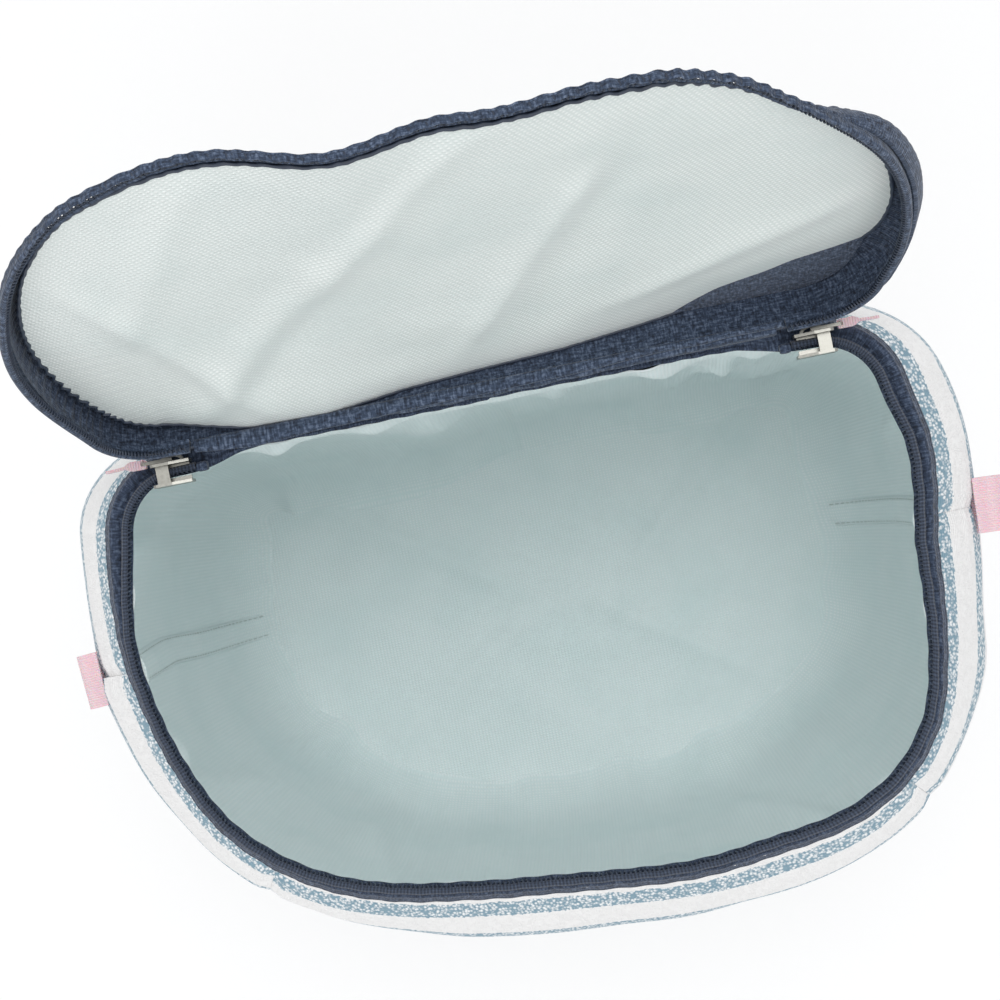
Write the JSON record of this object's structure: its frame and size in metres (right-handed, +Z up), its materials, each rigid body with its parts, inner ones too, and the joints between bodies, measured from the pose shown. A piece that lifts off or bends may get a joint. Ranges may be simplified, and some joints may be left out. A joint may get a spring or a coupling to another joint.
{
  "type": "insulated lunch bag",
  "caption": "Tall oval insulated lunch bag with a padded zipped lid folded open on a fabric hinge, pink side loops and a pale lined interior.",
  "frame": {"origin": "middle of the bag's footprint in plan, on its flat bottom face", "axes": "+Z up, -Y to the front of the bag, +Y to the hinge at its back, +X to the user's right"},
  "size_m": [0.3138, 0.2536, 0.3983],
  "materials": {
    "striped_fabric": "matte heathered weave with horizontal stripes",
    "navy_fabric": "matte heathered navy weave",
    "zipper": "satin nylon coil and woven tape",
    "body_liner": "pale aqua coated cloth, satin",
    "lid_liner": "pale grey-green coated dobby cloth, satin",
    "foam": "white closed-cell foam, matte",
    "board": "grey stiffener board, matte",
    "webbing": "pale pink webbing and ribbon, matte",
    "zinc": "plated zinc alloy, satin"
  },
  "bodies": {
    "body": {"outer_back_panel": "striped_fabric", "outer_right_panel": "striped_fabric", "outer_front_panel": "striped_fabric", "outer_left_panel": "striped_fabric", "outer_base": "navy_fabric", "rim_binding": "navy_fabric", "hinge_strip": "navy_fabric", "zipper_end_tab_right": "navy_fabric", "zipper_end_tab_left": "navy_fabric", "rim_zipper_tape": "zipper", "rim_zipper_teeth": "zipper", "liner_wall": "body_liner", "liner_floor": "body_liner", "liner_seam_tape_right": "body_liner", "liner_seam_tape_left": "body_liner", "foam_back_panel": "foam", "foam_right_panel": "foam", "foam_front_panel": "foam", "foam_left_panel": "foam", "base_foam": "foam", "base_stiffener": "board", "side_loop_right": "webbing", "side_loop_left": "webbing"},
    "lid": {"lid_gusset": "navy_fabric", "lid_liner": "lid_liner", "lid_foam": "foam", "lid_outer_panel": "navy_fabric", "lid_liner_binding": "zipper", "lid_zipper_tape": "zipper", "lid_zipper_teeth": "zipper", "lid_handle": "webbing"},
    "slider_right": {"zipper_slider_right": "zinc"},
    "slider_left": {"zipper_slider_left": "zinc"},
    "pull_right": {"pull_tab_right": "zinc", "pull_ribbon_right": "webbing"},
    "pull_left": {"pull_tab_left": "zinc", "pull_ribbon_left": "webbing"}
  },
  "joints": [
    {"name": "lid_hinge", "type": "hinge", "parent": "body", "child": "lid", "pos_m": [0, 0.079, 0.25095], "axis": [-1, 0, 0], "range_deg": [-111, 34]},
    {"name": "slider_right_travel", "type": "hinge", "parent": "body", "child": "slider_right", "pos_m": [0.10009, 0.055, 0.2451], "axis": [0, 0, -1], "range_deg": [0, 80]},
    {"name": "slider_left_travel", "type": "hinge", "parent": "body", "child": "slider_left", "pos_m": [-0.10009, 0.055, 0.2451], "axis": [0, 0, 1], "range_deg": [0, 80]},
    {"name": "pull_right_swing", "type": "hinge", "parent": "slider_right", "child": "pull_right", "pos_m": [0.10009, 0.0775, 0.2442], "axis": [0, 0, 1], "range_deg": [0, 30]},
    {"name": "pull_left_swing", "type": "hinge", "parent": "slider_left", "child": "pull_left", "pos_m": [-0.10009, 0.0775, 0.2442], "axis": [0, 0, -1], "range_deg": [0, 30]}
  ]
}
